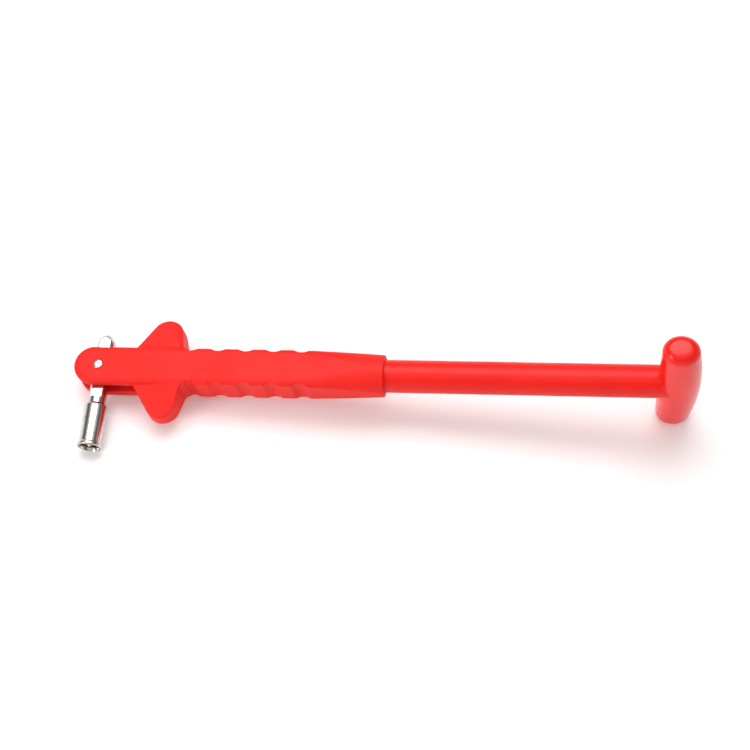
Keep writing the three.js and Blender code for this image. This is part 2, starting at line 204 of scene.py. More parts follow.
def mesh_from(name, points, faces):
    """A mesh of the faces, its doubles merged and its normals made consistent."""
    mesh = bpy.data.meshes.new(name)
    mesh.from_pydata([tuple(point) for point in points], [], faces)
    work = bmesh.new()
    work.from_mesh(mesh)
    bmesh.ops.remove_doubles(work, verts=work.verts, dist=1e-5)
    bmesh.ops.recalc_face_normals(work, faces=work.faces)
    work.to_mesh(mesh)
    work.free()
    mesh.validate()
    return mesh


def arc(centre, radius, start, stop, steps):
    """Points of an arc about (across, along), from start to stop degrees."""
    points = []
    for step in range(steps + 1):
        angle = math.radians(start + (stop - start) * step / steps)
        points.append((centre[0] + radius * math.cos(angle), centre[1] + radius * math.sin(angle)))
    return points


def softened(points, radius, steps=4):
    """An outline whose corners are rounded off, up to a third of each side."""
    result = [points[0]]
    for before, here, after in zip(points, points[1:], points[2:]):
        here_v = Vector(here)
        back = Vector(before) - here_v
        ahead = Vector(after) - here_v
        start = here_v + back.normalized() * min(radius, back.length / 3)
        stop = here_v + ahead.normalized() * min(radius, ahead.length / 3)
        for step in range(steps + 1):
            t = step / steps
            point = start * (1 - t) ** 2 + here_v * 2 * t * (1 - t) + stop * t * t
            result.append(tuple(point))
    result.append(points[-1])
    return result


def turned(name, outline, segments, axis):
    """A solid turned about an axis from (radius, along) points, in millimetres."""
    points, faces = [], []
    for radius, along in outline:
        for side in range(segments):
            angle = 2 * math.pi * side / segments
            across = (radius * math.cos(angle), radius * math.sin(angle))
            place = {"X": (along, *across), "Y": (across[1], along, across[0]),
                     "Z": (*across, along)}[axis]
            points.append(place)
    for ring in range(len(outline) - 1):
        for side in range(segments):
            here = ring * segments + side
            beside = ring * segments + (side + 1) % segments
            faces.append((here, beside, beside + segments, here + segments))
    return mesh_from(name, points, faces)


def plug(name, radius, start, stop, segments, axis):
    """A plain cylinder, used only to cut a hole or a groove."""
    outline = [(0, start), (radius, start), (radius, stop), (0, stop)]
    return turned(name, outline, segments, axis)


def applied(obj):
    """The object's mesh with its modifiers, and the object and its first mesh removed."""
    graph = bpy.context.evaluated_depsgraph_get()
    mesh = bpy.data.meshes.new_from_object(obj.evaluated_get(graph))
    first = obj.data
    bpy.data.objects.remove(obj)
    if first.users == 0:
        bpy.data.meshes.remove(first)
    return mesh


def cut(mesh, cutters):
    """The mesh with each cutter taken out of it."""
    obj = new_object("work", mesh)
    tools = [new_object("cutter", cutter) for cutter in cutters]
    for tool in tools:
        change = obj.modifiers.new("cut", "BOOLEAN")
        change.operation = "DIFFERENCE"
        change.solver = "EXACT"
        change.object = tool
    result = applied(obj)
    for tool in tools:
        bpy.data.objects.remove(tool)
    return result


def joined(name, meshes):
    """All the meshes in one."""
    work = bmesh.new()
    for mesh in meshes:
        work.from_mesh(mesh)
    result = bpy.data.meshes.new(name)
    work.to_mesh(result)
    work.free()
    return result


def cast(name, mesh, voxel, passes):
    """One skin round overlapping solids, with the small fillets of a moulding."""
    obj = new_object("work", mesh)
    skin = obj.modifiers.new("skin", "REMESH")
    skin.mode = "VOXEL"
    skin.voxel_size = voxel
    smooth = obj.modifiers.new("fillets", "SMOOTH")
    smooth.factor = 0.5
    smooth.iterations = passes
    result = applied(obj)
    result.name = name
    return result


def finished(name, mesh, place, body, node, material, angle=None):
    """Carries a mesh in millimetres into the frame as a piece that stands for a CAD node."""
    mesh.transform(place @ Matrix.Scale(MM, 4))
    mesh.shade_smooth()
    if angle is not None:
        mesh.set_sharp_from_angle(angle=math.radians(angle))
    mesh.materials.clear()
    mesh.materials.append(material)
    piece = new_object(name, mesh)
    mesh.name = name
    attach(piece, body)
    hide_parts(node)
    return piece


# ---- Materials ----

class Nodes:
    """A small helper that adds and links shader nodes on object coordinates."""

    def __init__(self, name):
        self.material = bpy.data.materials.new(name)
        self.material.use_nodes = True
        self.tree = self.material.node_tree
        self.shader = self.tree.nodes["Principled BSDF"]
        self.place = self.add("ShaderNodeTexCoord").outputs["Object"]

    def add(self, kind, **settings):
        node = self.tree.nodes.new(kind)
        for key, value in settings.items():
            setattr(node, key, value)
        return node

    def link(self, source, target):
        self.tree.links.new(source, target)

    def rotated(self, axes_matrix, scale):
        """Object coordinates turned into a piece's own axes and stretched."""
        turn = axes_matrix.to_3x3().inverted().to_euler()
        moved = self.add("ShaderNodeVectorMath", operation="SUBTRACT")
        moved.inputs[1].default_value = axes_matrix.translation
        self.link(self.place, moved.inputs[0])
        mapping = self.add("ShaderNodeVectorRotate", rotation_type="EULER_XYZ")
        mapping.inputs["Rotation"].default_value = turn
        self.link(moved.outputs[0], mapping.inputs["Vector"])
        stretched = self.add("ShaderNodeVectorMath", operation="MULTIPLY")
        stretched.inputs[1].default_value = scale
        self.link(mapping.outputs[0], stretched.inputs[0])
        return stretched.outputs[0]

    def noise(self, scale, detail=3.0, vector=None):
        node = self.add("ShaderNodeTexNoise")
        node.inputs["Scale"].default_value = scale
        node.inputs["Detail"].default_value = detail
        self.link(vector or self.place, node.inputs["Vector"])
        return node.outputs["Fac"]

    def ramp(self, source, *stops):
        node = self.add("ShaderNodeValToRGB")
        elements = node.color_ramp.elements
        while len(elements) < len(stops):
            elements.new(0.5)
        for element, (position, color) in zip(elements, stops):
            element.position = position
            shade = color if isinstance(color, tuple) else (color, color, color)
            element.color = (*shade, 1.0)
        self.link(source, node.inputs["Fac"])
        return node.outputs["Color"]

    def mixed(self, factor, first, second):
        node = self.add("ShaderNodeMix", data_type="RGBA")
        self.link(factor, node.inputs["Factor"])
        for source, socket in ((first, node.inputs[6]), (second, node.inputs[7])):
            if isinstance(source, tuple):
                socket.default_value = (*source, 1.0)
            else:
                self.link(source, socket)
        return node.outputs[2]

    def bump(self, height, strength, distance, below=None):
        node = self.add("ShaderNodeBump")
        node.inputs["Strength"].default_value = strength
        node.inputs["Distance"].default_value = distance
        self.link(height, node.inputs["Height"])
        if below is not None:
            self.link(below, node.inputs["Normal"])
        return node.outputs["Normal"]

    def finish(self, color, roughness, normal):
        self.link(color, self.shader.inputs["Base Color"])
        self.link(roughness, self.shader.inputs["Roughness"])
        self.link(normal, self.shader.inputs["Normal"])
        return self.material


def red_plastic(name, red, gloss, coat):
    """Red moulding: slight colour flow, a fine skin, faint rub marks and scratches."""
    nodes = Nodes(name)
    deep, pale, worn = (tuple(share * part + grey for part in red)
                        for share, grey in ((0.90, 0.0), (1.0, 0.001), (0.98, 0.009)))
    color = nodes.ramp(nodes.noise(28.0, 4.0), (0.30, deep), (0.70, pale))
    rubbed = nodes.ramp(nodes.noise(160.0, 6.0), (0.60, 0.0), (0.78, 1.0))
    color = nodes.mixed(rubbed, color, worn)
    rough = nodes.ramp(nodes.noise(75.0, 5.0), (0.30, gloss - 0.04), (0.72, gloss + 0.07))
    marks = nodes.noise(1.0, 5.0, nodes.rotated(tool_axes(), (90.0, 900.0, 900.0)))
    scratch = nodes.ramp(marks, (0.60, 0.0), (0.66, 1.0), (0.70, 0.0))
    skin = nodes.bump(nodes.noise(2600.0, 2.0), 0.10, 0.00003)
    normal = nodes.bump(scratch, 0.05, 0.00002, skin)
    nodes.shader.inputs["IOR"].default_value = PLASTIC_IOR
    nodes.shader.inputs["Specular IOR Level"].default_value = PLASTIC_SPECULAR
    nodes.shader.inputs["Coat Weight"].default_value = coat
    nodes.shader.inputs["Coat Roughness"].default_value = COAT_ROUGHNESS
    return nodes.finish(color, rough, normal)


def metal(name, place, tints, rough, grain, strength):
    """Worked metal: a directional grain along or round the piece, and dull patches."""
    nodes = Nodes(name)
    grained = nodes.noise(1.0, 4.0, nodes.rotated(place, grain))
    color = nodes.ramp(nodes.noise(120.0, 4.0), (0.32, tints[0]), (0.68, tints[1]))
    dulled = nodes.ramp(nodes.noise(330.0, 6.0), (0.58, 0.0), (0.74, 1.0))
    color = nodes.mixed(dulled, color, tints[2])
    shine = nodes.ramp(grained, (0.25, rough[0]), (0.75, rough[1]))
    nodes.shader.inputs["Metallic"].default_value = 1.0
    normal = nodes.bump(grained, strength, 0.00002)
    return nodes.finish(color, shine, normal)


def plated_steel():
    return metal("plated_steel", swivel_axes(),
                 ((0.58, 0.56, 0.52), (0.68, 0.66, 0.62), (0.46, 0.44, 0.41)),
                 (0.05, 0.13), (500.0, 3000.0, 500.0), 0.10)


def bright_steel():
    return metal("bright_steel", tool_axes(),
                 ((0.62, 0.63, 0.64), (0.74, 0.75, 0.76), (0.46, 0.46, 0.47)),
                 (0.22, 0.36), (3000.0, 3000.0, 400.0), 0.25)


def plain_steel():
    return metal("plain_steel", tool_axes(),
                 ((0.42, 0.43, 0.44), (0.52, 0.53, 0.55), (0.30, 0.29, 0.28)),
                 (0.30, 0.46), (150.0, 2600.0, 2600.0), 0.35)


# Brass tints darkened well below the bright metal: painted shade for the insert deep in the
# socket's bore.
def brass():
    return metal("brass", swivel_axes(),
                 ((0.27, 0.20, 0.11), (0.36, 0.27, 0.15), (0.13, 0.10, 0.06)),
                 (0.24, 0.40), (900.0, 3200.0, 900.0), 0.25)


# ---- The moulding of grip, fork and wings ----

def rounded_ring(x, half_width, half_height, run, drop, steps, swell=0.0):
    """A rounded rectangle across X, its corners quarters of ellipses.

    The ellipses may swell past the side walls, which then cut them off in a crisp line.
    """
    ring = []
    for quarter, (sign_y, sign_z) in enumerate(((1, 1), (-1, 1), (-1, -1), (1, -1))):
        for across, up in arc((0, 0), 1, quarter * 90, quarter * 90 + 90, steps):
            y = sign_y * (half_width + swell - run) + run * across
            ring.append((x, max(-half_width, min(half_width, y)),
                         sign_z * (half_height - drop) + drop * up))
    return ring


def grip_bar(steps):
    """The bar's rings: a rounded rectangle that fades into the round collar."""
    rings = []
    for step in range(31):
        x = GRIP_HALF_WIDTH - NOSE_REACH + (FADE_FROM - GRIP_HALF_WIDTH + NOSE_REACH) * step / 31
        rings.append(rounded_ring(x, GRIP_HALF_WIDTH, GRIP_HALF_HEIGHT, GRIP_EDGE_RUN,
                                  GRIP_EDGE, steps))
    length = COLLAR_TO - COLLAR_EDGE - FADE_FROM
    for step in range(61):
        along = step / 60
        fade = 1 - max(0.0, 1 - along * length / (FADE_TO - FADE_FROM)) ** FADE_EASE
        width = GRIP_HALF_WIDTH + (COLLAR_RADIUS - GRIP_HALF_WIDTH) * fade
        height = GRIP_HALF_HEIGHT + (COLLAR_RADIUS - GRIP_HALF_HEIGHT) * fade
        run = GRIP_EDGE_RUN + (COLLAR_RADIUS + COLLAR_SWELL - GRIP_EDGE_RUN) * fade
        drop = GRIP_EDGE + (COLLAR_RADIUS - GRIP_EDGE) * along ** FADE_EASE
        rings.append(rounded_ring(FADE_FROM + length * along, width, height, run, drop, steps,
                                  COLLAR_SWELL * along))
    for rise, ahead in arc((0, 0), COLLAR_EDGE, 0, 90, 6):
        radius = COLLAR_RADIUS - COLLAR_EDGE + rise
        x = COLLAR_TO - COLLAR_EDGE + ahead
        rings.append(rounded_ring(x, radius, radius, radius + COLLAR_SWELL, radius, steps,
                                  COLLAR_SWELL))
    size = len(rings[0])
    points = [point for ring in rings for point in ring]
    faces = [tuple(range(size)), tuple(range(len(points) - size, len(points)))]
    for ring in range(len(rings) - 1):
        for side in range(size):
            here = ring * size + side
            beside = ring * size + (side + 1) % size
            faces.append((here, beside, beside + size, here + size))
    return mesh_from("bar", points, faces)


def fork_nose():
    """The round end of the fork, with the bar's own edge all round it."""
    edge = [(GRIP_HALF_WIDTH + GRIP_EDGE_RUN * (across - 1),
             GRIP_HALF_HEIGHT + GRIP_EDGE * (up - 1)) for across, up in arc((0, 0), 1, 0, 90, 12)]
    below = [(across, -up) for across, up in reversed(edge)]
    outline = [(0, -GRIP_HALF_HEIGHT), *below, *edge, (0, GRIP_HALF_HEIGHT)]
    mesh = turned("nose", outline, 128, "Z")
    mesh.transform(Matrix.Translation((GRIP_HALF_WIDTH - NOSE_REACH, 0, 0)))
    return mesh


def wing_outline():
    """The wing seen along the pin: front flank, round tip, rear flank and its root fillet."""
    front, lean = math.radians(WING_FRONT), math.radians(WING_LEAN)
    centre = (WING_CENTRE, WING_REACH - WING_ROUND)
    foot = GRIP_HALF_WIDTH - GRIP_EDGE / 3 + WING_FILLET
    rear = (centre[0] + WING_ROUND * math.cos(lean), centre[1] + WING_ROUND * math.sin(lean))
    fillet_x = rear[0] + (WING_FILLET - math.sin(lean) * (foot - rear[1])) / math.cos(lean)
    near = (centre[0] - WING_ROUND * math.sin(front), centre[1] + WING_ROUND * math.cos(front))
    outline = [(near[0] - near[1] / math.tan(front), 0)]
    outline += arc(centre, WING_ROUND, 90 + WING_FRONT, WING_LEAN, 40)
    outline += arc((fillet_x, foot), WING_FILLET, 180 + WING_LEAN, 270, 12)
    outline.append((fillet_x, 0))
    return outline


def wing(turn):
    """One wing, with rounded edges, that thins towards its tip."""
    outline = wing_outline()
    half = WING_ROOT / 2
    size = len(outline)
    points = [(x, y, z) for z in (-half, half) for x, y in outline]
    faces = [tuple(range(size)), tuple(range(size, 2 * size))]
    for side in range(size):
        beside = (side + 1) % size
        faces.append((side, beside, beside + size, side + size))
    obj = new_object("wing", mesh_from("wing", points, faces))
    bevel = obj.modifiers.new("edge", "BEVEL")
    bevel.width = WING_EDGE
    bevel.segments = 6
    bevel.limit_method = "ANGLE"
    bevel.angle_limit = math.radians(50)
    mesh = applied(obj)
    taper = (1 - WING_TIP / WING_ROOT) / (WING_REACH - GRIP_HALF_WIDTH)
    for vertex in mesh.vertices:
        vertex.co.z *= 1 - taper * max(0, vertex.co.y - GRIP_HALF_WIDTH)
    mesh.transform(Matrix.Rotation(turn, 4, "X"))
    return mesh


def grip_cutters():
    """The flutes, the round floor of the fork's slot and the slot's open mouth."""
    tall = 2 * GRIP_HALF_HEIGHT
    flutes = []
    for index in range(FLUTES):
        for side in (-1, 1):
            post = plug("flute", FLUTE_RADIUS, -tall, tall, 96, "Z")
            offset = side * (GRIP_HALF_WIDTH + FLUTE_RADIUS - FLUTE_DEPTH)
            post.transform(Matrix.Translation((FLUTE_FIRST + index * FLUTE_PITCH, offset, 0)))
            flutes.append(post)
    low, high = SLOT_LIFT - SLOT_GAP / 2, SLOT_LIFT + SLOT_GAP / 2
    floor = plug("floor", SLOT_FLOOR, low, high, 192, "Z")
    corners = [(x, y, z) for x in (-2 * NOSE_REACH, 0) for y in (-MOUTH_REACH, MOUTH_REACH)
               for z in (low, high)]
    sides = [(0, 1, 3, 2), (4, 6, 7, 5), (0, 4, 5, 1), (2, 3, 7, 6), (0, 2, 6, 4), (1, 5, 7, 3)]
    return joined("flutes", flutes), floor, mesh_from("mouth", corners, sides)


def grip_mesh(voxel, passes):
    """The bar, the fork's nose and both wings, cut out and cast in one skin."""
    pin = extent("pivot_pin", tool_axes())[1].x
    hole = plug("hole", pin + PIN_GAP, -CUT_REACH, CUT_REACH, 64, "Z")
    flutes, floor, mouth = grip_cutters()
    sleeve_low, sleeve_high = extent("shaft_sleeve", tool_axes())
    seat = plug("seat", sleeve_high.y + SEAT_GAP, sleeve_low.x - SEAT_DEPTH, COLLAR_TO + 2,
                128, "X")
    solids = [
        cut(grip_bar(24), [flutes, floor, mouth, hole, seat]),
        cut(fork_nose(), [floor, mouth, hole]),
        cut(wing(0), [floor]),
        cut(wing(math.pi), [floor]),
    ]
    return cast("grip", joined("grip", solids), voxel, passes)


# ---- T-handle ----

def handle_radius(z):
    """The barrel's radius, widest at its middle."""
    shoulder = HANDLE_HALF - HANDLE_ROUND
    along = min(1.0, abs(z) / shoulder)
    return HANDLE_END + (HANDLE_RADIUS - HANDLE_END) * (1 - along ** 2)


def handle_bow(z):
    """How far along the bar the barrel's middle line lies."""
    return HANDLE_PLACE + HANDLE_BOW * (1 - (z / HANDLE_HALF) ** 2)


def handle_face(y, z):
    """Where the oval barrel's side towards the grip lies."""
    across = y * HANDLE_RADIUS / HANDLE_DEPTH
    return handle_bow(z) - math.sqrt(max(0.0, handle_radius(z) ** 2 - across ** 2))


def handle_mesh(fillet):
    """A barrel that bows away from the bar, with a small saddle round the sleeve."""
    corner = HANDLE_END - HANDLE_ROUND
    slope = math.radians(HANDLE_CROWN)
    rim = corner + HANDLE_ROUND * math.sin(slope)
    crown = rim * math.tan(slope) / 2
    shoulder = HANDLE_HALF - crown - HANDLE_ROUND * math.cos(slope)
    end = [(rim * step / 8, HANDLE_HALF - crown * (step / 8) ** 2) for step in range(8)]
    end += arc((corner, shoulder), HANDLE_ROUND, 90 - HANDLE_CROWN, 0, 20)
    side = [(handle_radius(z), z) for z in (shoulder * (1 - step / 30) for step in range(1, 60))]
    below = [(radius, -along) for radius, along in reversed(end)]
    barrel = turned("barrel", end + side + below, 160, "Z")
    for vertex in barrel.vertices:
        vertex.co.x += handle_bow(vertex.co.z)
        vertex.co.y *= HANDLE_DEPTH / HANDLE_RADIUS

    sleeve = extent("shaft_sleeve", tool_axes())[1].y
    points, faces = [], []
    around, steps = 160, 8
    for side in range(around):
        angle = 2 * math.pi * side / around
        ring = []
        for radius in (sleeve, sleeve + fillet):
            y, z = radius * math.cos(angle), radius * math.sin(angle)
            ring.append(handle_face(y, z))
        start, bend = (sleeve, ring[0] - fillet), (sleeve, ring[0])
        stop = (sleeve + fillet, ring[1])
        curve = []
        for step in range(steps + 1):
            t = step / steps
            weights = ((1 - t) ** 2, 2 * t * (1 - t), t * t)
            curve.append([sum(w * p[k] for w, p in zip(weights, (start, bend, stop)))
                          for k in range(2)])
        curve += [[sleeve + fillet * 0.5, ring[1] + 0.6], [sleeve - 0.1, ring[0] + 0.5]]
        points += [(x, radius * math.cos(angle), radius * math.sin(angle)) for radius, x in curve]
    size = len(points) // around
    for side in range(around):
        for step in range(size):
            here, there = side * size, ((side + 1) % around) * size
            ahead = (step + 1) % size
            faces.append((here + step, there + step, there + ahead, here + ahead))
    return joined("handle", [barrel, mesh_from("saddle", points, faces)])


def sleeve_mesh(waviness):
    """The drawn sleeve, never quite straight or even, as moulded tube is."""
    low, high = extent("shaft_sleeve", tool_axes())
    radius = high.y
    inner = radius - SLEEVE_WALL
    start = low.x + SLEEVE_EDGE
    outline = [(inner, low.x), (radius - SLEEVE_EDGE, low.x), (radius, start)]
    for step in range(1, 60):
        along = start + (high.x - start) * step / 60
        outline.append((radius - waviness * (0.5 + 0.5 * math.sin(along * 0.21)), along))
    outline += [(radius, high.x), (inner, high.x), (inner, low.x)]
    mesh = turned("sleeve", outline, 160, "X")
    for vertex in mesh.vertices:
        drift = noise.noise(vertex.co * 0.05) * waviness
        across = Vector((0, vertex.co.y, vertex.co.z))
        if across.length > inner + 1:
            vertex.co -= across.normalized() * abs(drift)
    return mesh


# ---- Metal pieces ----

def pin_mesh():
    """The swivel pin: domed, peened ends with a small centre mark."""
    high = extent("pivot_pin", tool_axes())[1]
    half, radius = high.z, high.x
    dome = []
    for step in range(9):
        across = PIN_MARK + (radius - PIN_MARK - 0.08) * step / 8
        dome.append((across, half - PIN_DOME * (across / radius) ** 2))
    mark = [(0, half - 0.40), (0.3, half - 0.36), (0.62, half - 0.10)]
    top = mark + dome + [(radius, dome[-1][1] - PIN_EDGE)]
    outline = [(r, -z) for r, z in top] + [(r, z) for r, z in reversed(top)]
    return turned("pin", outline, 96, "Z")


def rod_mesh():
    """The swivel rod: bullet nose, two long flats, the pin's eye and the socket's spigot."""
    low, high = extent("swivel_rod", swivel_axes())
    socket_low = extent("valve_socket", swivel_axes())[0].y
    radius = high.x
    outline = []
    for step in range(25):
        share = step / 24
        outline.append((radius * share, low.y + ROD_NOSE * share ** 2.2))
    for step in range(1, 41):
        straight = ROD_FLAT_END - low.y - ROD_NOSE
        outline.append((radius, low.y + ROD_NOSE + straight * step / 40))
    rod_end = socket_low - ROD_END_GAP
    outline += [(radius, ROD_FLAT_END + 0.02), (radius, rod_end - ROD_END_EDGE),
                (radius - ROD_END_EDGE, rod_end), (SPIGOT_RADIUS, rod_end),
                (SPIGOT_RADIUS, high.y), (0, high.y)]
    mesh = turned("rod", outline, 192, "Y")
    for vertex in mesh.vertices:
        if vertex.co.y <= ROD_FLAT_END + 1e-4:
            vertex.co.z = max(-ROD_FLAT_HALF, min(ROD_FLAT_HALF, vertex.co.z))
    pin = extent("pivot_pin", tool_axes())[1].x
    return cut(mesh, [plug("eye", pin + PIN_GAP, -CUT_REACH, CUT_REACH, 64, "Z")])


def socket_mesh(soft):
    """The plated socket: a shoulder at the rod, a flared lip and a thin rim at the mouth."""
    low, high = extent("valve_socket", swivel_axes())
    insert = extent("thread_insert", swivel_axes())
    bore = insert[1].x + INSERT_GAP
    lip = high.x
    spigot = SPIGOT_RADIUS + SPIGOT_GAP
    lip_from = high.y - SOCKET_LIP
    outline = softened([
        (spigot, low.y), (SOCKET_RADIUS - SOCKET_SHOULDER, low.y),
        (SOCKET_RADIUS, low.y + SOCKET_SHOULDER), (SOCKET_NECK, lip_from - lip + SOCKET_NECK),
        (lip, lip_from), (lip, high.y - LIP_EDGE), (lip - LIP_EDGE, high.y),
        (lip - RIM_WIDTH, high.y), (bore, insert[1].y), (bore, insert[0].y - INSERT_SEAT),
        (spigot, insert[0].y - INSERT_SEAT), (spigot, low.y),
    ], soft)
    return turned("socket", outline, 192, "Y")


def thread_tree():
    """Geometry nodes: a ridge that winds down the bore, joined to the insert's wall."""
    tree = bpy.data.node_groups.new("helical_thread", "GeometryNodeTree")
    face = tree.interface
    face.new_socket("Geometry", in_out="INPUT", socket_type="NodeSocketGeometry")
    for label in ("Turns", "Radius", "Length", "Ridge", "Start"):
        face.new_socket(label, in_out="INPUT", socket_type="NodeSocketFloat")
    face.new_socket("Material", in_out="INPUT", socket_type="NodeSocketMaterial")
    face.new_socket("Geometry", in_out="OUTPUT", socket_type="NodeSocketGeometry")
    add = tree.nodes.new
    link = tree.links.new
    given, result = add("NodeGroupInput"), add("NodeGroupOutput")
    spiral = add("GeometryNodeCurveSpiral")
    spiral.inputs["Resolution"].default_value = 72
    link(given.outputs["Turns"], spiral.inputs["Rotations"])
    link(given.outputs["Radius"], spiral.inputs["Start Radius"])
    link(given.outputs["Radius"], spiral.inputs["End Radius"])
    link(given.outputs["Length"], spiral.inputs["Height"])
    upright = add("GeometryNodeSetCurveNormal")
    upright.mode = "Z_UP"
    link(spiral.outputs["Curve"], upright.inputs["Curve"])
    ridge = add("GeometryNodeCurvePrimitiveCircle")
    ridge.inputs["Resolution"].default_value = 4
    link(given.outputs["Ridge"], ridge.inputs["Radius"])
    swept = add("GeometryNodeCurveToMesh")
    swept.inputs["Fill Caps"].default_value = True
    link(upright.outputs["Curve"], swept.inputs["Curve"])
    link(ridge.outputs["Curve"], swept.inputs["Profile Curve"])
    moved = add("GeometryNodeTransform")
    offset = add("ShaderNodeCombineXYZ")
    link(given.outputs["Start"], offset.inputs["Z"])
    link(swept.outputs["Mesh"], moved.inputs["Geometry"])
    link(offset.outputs["Vector"], moved.inputs["Translation"])
    together = add("GeometryNodeJoinGeometry")
    link(moved.outputs["Geometry"], together.inputs["Geometry"])
    link(given.outputs["Geometry"], together.inputs["Geometry"])
    real = add("GeometryNodeRealizeInstances")
    painted = add("GeometryNodeSetMaterial")
    link(together.outputs["Geometry"], real.inputs["Geometry"])
    link(real.outputs["Geometry"], painted.inputs["Geometry"])
    link(given.outputs["Material"], painted.inputs["Material"])
    link(painted.outputs["Geometry"], result.inputs["Geometry"])
    return tree


def set_inputs(modifier, values):
    """Sets a node modifier's inputs by their sockets' identifiers."""
    for item in modifier.node_group.interface.items_tree:
        if item.in_out == "INPUT" and item.name in values:
            modifier[item.identifier] = values[item.name]


def insert_mesh(material):
    """The brass insert: a wall, a lead at the mouth and a helical thread."""
    low, high = extent("thread_insert", swivel_axes())
    outer = high.x
    outline = softened([
        (THREAD_ROOT, low.y), (outer, low.y), (outer, high.y), (outer - INSERT_EDGE, high.y),
        (THREAD_ROOT, high.y - THREAD_LEAD), (THREAD_ROOT, low.y),
    ], 0.05)
    obj = new_object("insert", turned("insert", outline, 128, "Z"))
    change = obj.modifiers.new("thread", "NODES")
    change.node_group = thread_tree()
    length = high.y - low.y - THREAD_SHORT
    set_inputs(change, {
        "Turns": length / THREAD_PITCH, "Radius": THREAD_ROOT, "Length": length,
        "Ridge": THREAD_RIDGE, "Start": low.y + THREAD_FROM, "Material": material,
    })
    mesh = applied(obj)
    mesh.transform(Matrix.Rotation(-math.pi / 2, 4, "X"))
    return mesh


def core_pin_mesh():
    """The pin that pushes the valve's core: a stepped base and a domed, polished tip."""
    low, high = extent("core_pin", swivel_axes())
    base, step_at = high.x, low.y + STEM_FROM
    outline = softened([
        (0, low.y), (base, low.y), (base, step_at), (STEM_RADIUS, step_at + base - STEM_RADIUS),
        (STEM_RADIUS, high.y - STEM_RADIUS),
    ], 0.1)
    outline += arc((0, high.y - STEM_RADIUS), STEM_RADIUS, 0, 90, 12)[1:]
    return turned("core_pin", outline, 64, "Y")


# ---- Studio ----

def floor_material():
    """A pale, matt floor that glows a little, so the shadows stay light."""
    nodes = Nodes("studio_floor")
    nodes.shader.inputs["Emission Color"].default_value = (1.0, 0.99, 0.995, 1.0)
    nodes.shader.inputs["Emission Strength"].default_value = FLOOR_GLOW
    color = nodes.ramp(nodes.noise(3.0, 2.0), (0.3, (0.90, 0.895, 0.895)),
                       (0.7, (0.925, 0.92, 0.92)))
    rough = nodes.ramp(nodes.noise(9.0, 2.0), (0.3, 0.70), (0.7, 0.80))
    normal = nodes.bump(nodes.noise(600.0, 2.0), 0.02, 0.0002)
    return nodes.finish(color, rough, normal)


def tent(strength):
    """A pale room: bright overhead and low down, with a darker band of wall between."""
    world = bpy.data.worlds.new("studio")
    world.use_nodes = True
    tree = world.node_tree
    place = tree.nodes.new("ShaderNodeTexCoord")
    height = tree.nodes.new("ShaderNodeSeparateXYZ")
    ramp = tree.nodes.new("ShaderNodeValToRGB")
    tree.links.new(place.outputs["Generated"], height.inputs["Vector"])
    tree.links.new(height.outputs["Z"], ramp.inputs["Fac"])
    elements = ramp.color_ramp.elements
    for position, shade in ((0.16, 0.75), (0.36, 0.16), (0.62, 0.16), (0.82, 0.85)):
        elements.new(position).color = (shade, shade, shade, 1.0)
    elements[0].color = (0.85, 0.85, 0.85, 1.0)
    elements[-1].color = (1.0, 1.0, 1.0, 1.0)
    sky = tree.nodes["Background"]
    sky.inputs["Strength"].default_value = strength
    tree.links.new(ramp.outputs["Color"], sky.inputs["Color"])
    return world


def soft_light(name, place, size, power, color):
    """A large lamp turned to the middle of the floor."""
    data = bpy.data.lights.new(name, "AREA")
    data.shape = "RECTANGLE"
    data.size, data.size_y = size
    data.energy = power
    data.color = color
    lamp = bpy.data.objects.new(name, data)
    lamp.location = place
    lamp.rotation_euler = (-Vector(place)).to_track_quat("-Z", "Y").to_euler()
    bpy.context.scene.collection.objects.link(lamp)


def add_camera(settings):
    """The camera, level, at its distance from the point that it looks at."""
    azimuth, elevation = settings.azimuth, settings.elevation
    forward = Vector((math.sin(azimuth) * math.cos(elevation),
                      math.cos(azimuth) * math.cos(elevation), -math.sin(elevation)))
    data = bpy.data.cameras.new("camera")
    data.lens = settings.lens
    data.sensor_width = 36
    data.clip_start = 0.01
    camera = bpy.data.objects.new("camera", data)
    camera.location = Vector(settings.target) - forward * settings.distance
    camera.rotation_euler = forward.to_track_quat("-Z", "Y").to_euler()
    bpy.context.scene.collection.objects.link(camera)
    bpy.context.scene.camera = camera


# ---- Settings ----

class MouldingSettings(bpy.types.PropertyGroup):
    red: bpy.props.FloatVectorProperty(
        name="Red", description="Colour of the moulded plastic", default=(0.88, 0.011, 0.006),
        min=0, max=1, subtype="COLOR")
    voxel: bpy.props.FloatProperty(
        name="Skin size", description="Mesh size of the moulded skin, in millimetres",
        default=0.38, min=0.3)
    passes: bpy.props.IntProperty(
        name="Fillet passes", description="How far the moulding's edges are rounded", default=1)
    gloss: bpy.props.FloatProperty(
        name="Grip roughness", description="Roughness of the satin grip", default=0.52,
        subtype="FACTOR")
    handle_gloss: bpy.props.FloatProperty(
        name="Handle roughness", description="Roughness of the glossy T-handle", default=0.19,
        subtype="FACTOR")
    saddle: bpy.props.FloatProperty(
        name="Saddle fillet", description="Fillet where the sleeve meets the T-handle, in mm",
        default=0.6)
    waviness: bpy.props.FloatProperty(
        name="Sleeve unevenness", description="How uneven the sleeve is, in mm", default=0.03)


class MetalSettings(bpy.types.PropertyGroup):
    soft: bpy.props.FloatProperty(
        name="Edge rounding", description="Rounding of the socket's edges, in mm", default=0.18)


